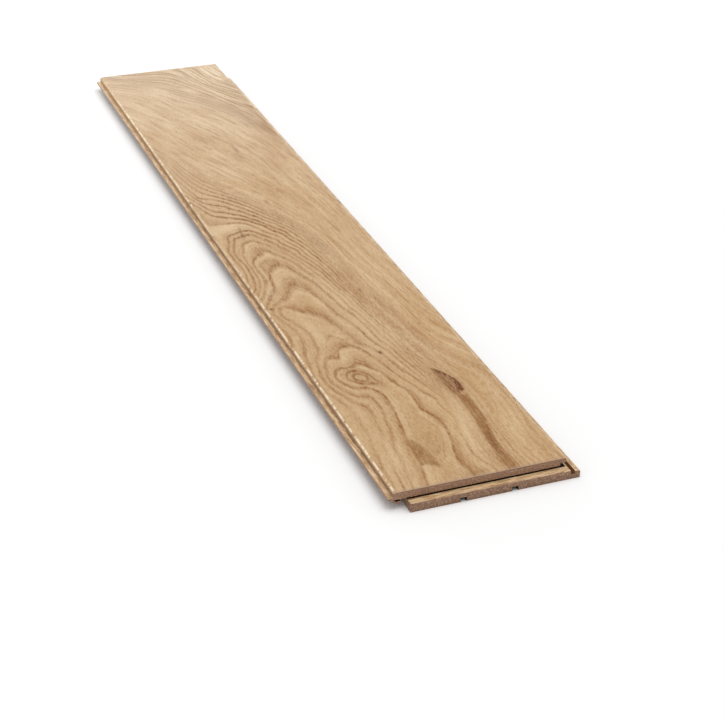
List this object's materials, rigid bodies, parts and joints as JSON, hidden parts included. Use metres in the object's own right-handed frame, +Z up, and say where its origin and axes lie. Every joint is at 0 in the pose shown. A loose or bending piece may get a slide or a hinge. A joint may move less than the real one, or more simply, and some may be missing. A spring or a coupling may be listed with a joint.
{
  "type": "oak floorboard",
  "caption": "Click-lock floorboard: a bevelled oak face on a fibreboard core, with a tongue, a groove and a hooked strip along its sides and a slotted ledge at its end.",
  "frame": {"origin": "on the underside, under the middle of the oak face", "axes": "+X along the board towards the end with the ledge, +Y across it towards the grooved side, +Z up through the oak face"},
  "size_m": [0.8337, 0.1366, 0.014],
  "materials": {
    "fibreboard": "milled raw fibreboard, matt",
    "oak": "satin lacquered oak"
  },
  "bodies": {
    "root": {"fibreboard_core": "fibreboard", "oak_face": "oak"}
  },
  "joints": []
}
